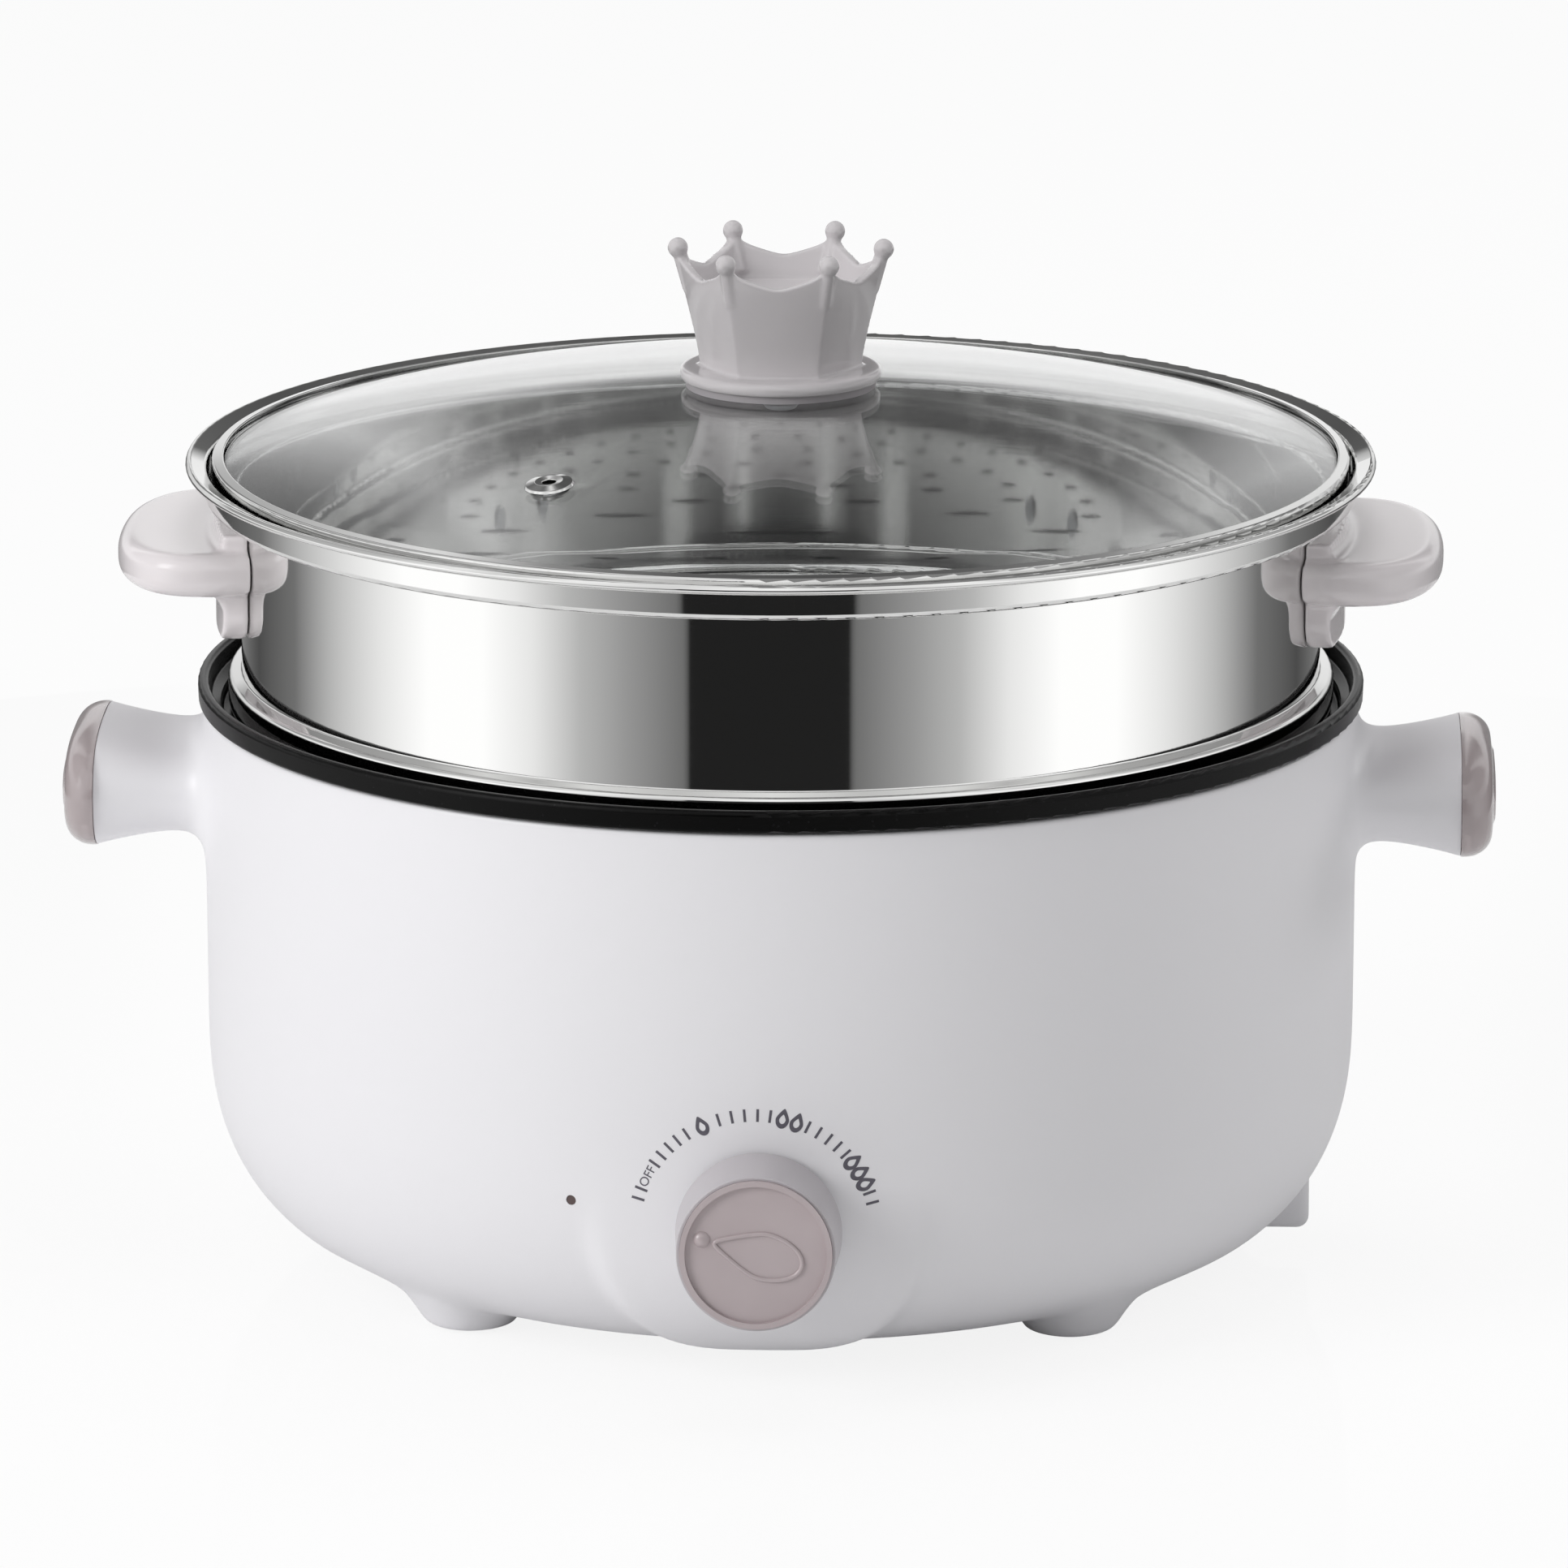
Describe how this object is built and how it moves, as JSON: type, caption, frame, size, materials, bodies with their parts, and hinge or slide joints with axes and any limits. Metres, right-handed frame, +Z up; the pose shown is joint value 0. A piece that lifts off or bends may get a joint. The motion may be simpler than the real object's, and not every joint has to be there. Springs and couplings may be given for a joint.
{
  "type": "electric hot pot",
  "caption": "Round electric hot pot with a steel steamer tier standing in its mouth, a lift-off domed glass lid with a crown-shaped knob, and a heat dial low on the front.",
  "frame": {"origin": "on the floor under the centre of the pot, 2.4 mm below the centre of the bottom cover's face", "axes": "+Z up, the dial faces -Y, the two shell handles lie along X with the inlet on +X"},
  "size_m": [0.351, 0.3072, 0.2546],
  "materials": {
    "shell_white": "satin moulded, white",
    "cap_tint": "gloss, warm grey tint",
    "nonstick": "black non-stick coating, fine grain",
    "heater_steel": "oxidised sheath",
    "plate_steel": "galvanised sheet",
    "terminal_ceramic": "glazed collar",
    "black_plastic": "moulded, fine texture",
    "lamp_glass": "small neon bulb",
    "lens_amber": "clear brown lens",
    "blade_brass": "plated blade",
    "wire_sleeve": "woven glass sleeve",
    "cover_plastic": "moulded, fine texture",
    "screw_steel": "zinc plated",
    "foot_rubber": "soft matt rubber",
    "dial_white": "satin moulded",
    "dial_tint": "satin, warm grey tint",
    "tier_steel": "polished outside, brushed inside",
    "grip_plastic": "gloss, milky warm grey",
    "lid_glass": "clear tempered",
    "rim_steel": "polished band",
    "knob_plastic": "gloss, lilac grey",
    "silicone": "smoke silicone"
  },
  "bodies": {
    "base": {"outer_shell": "shell_white", "handle_cap_right": "cap_tint", "handle_cap_left": "cap_tint", "inner_pot": "nonstick", "heating_element": "heater_steel", "element_terminals": "terminal_ceramic", "heat_shield": "plate_steel", "thermal_cutoff": "plate_steel", "cutoff_clip": "plate_steel", "regulator_body": "black_plastic", "regulator_bracket": "plate_steel", "regulator_screws": "screw_steel", "pilot_lamp": "lamp_glass", "pilot_lens": "lens_amber", "inlet_socket": "black_plastic", "inlet_pins": "blade_brass", "wiring": "wire_sleeve", "bottom_cover": "cover_plastic", "tie_screws": "screw_steel", "foot_pad_back_right": "foot_rubber", "foot_pad_back_left": "foot_rubber", "foot_pad_front_left": "foot_rubber", "foot_pad_front_right": "foot_rubber"},
    "dial": {"dial_knob": "dial_white", "dial_face": "dial_tint", "regulator_shaft": "screw_steel"},
    "steamer": {"steamer_basket": "tier_steel", "steamer_handle_right": "grip_plastic", "steamer_handle_left": "grip_plastic", "steamer_screws": "screw_steel"},
    "lid": {"lid_glass": "lid_glass", "lid_rim": "rim_steel", "vent_eyelet": "rim_steel", "lid_knob": "knob_plastic", "knob_gasket": "silicone", "lower_gasket": "silicone", "knob_washer": "screw_steel", "knob_screw": "screw_steel"}
  },
  "joints": [
    {"name": "dial_turn", "type": "hinge", "parent": "base", "child": "dial", "pos_m": [0, -0.15, 0.0434], "axis": [0, 1, 0], "range_deg": [0, 150]},
    {"name": "steamer_lift", "type": "slide", "parent": "base", "child": "steamer", "axis": [0, 0, 1], "range_m": [0, 0.1]},
    {"name": "lid_lift", "type": "slide", "parent": "steamer", "child": "lid", "axis": [0, 0, 1], "range_m": [0, 0.1]}
  ]
}
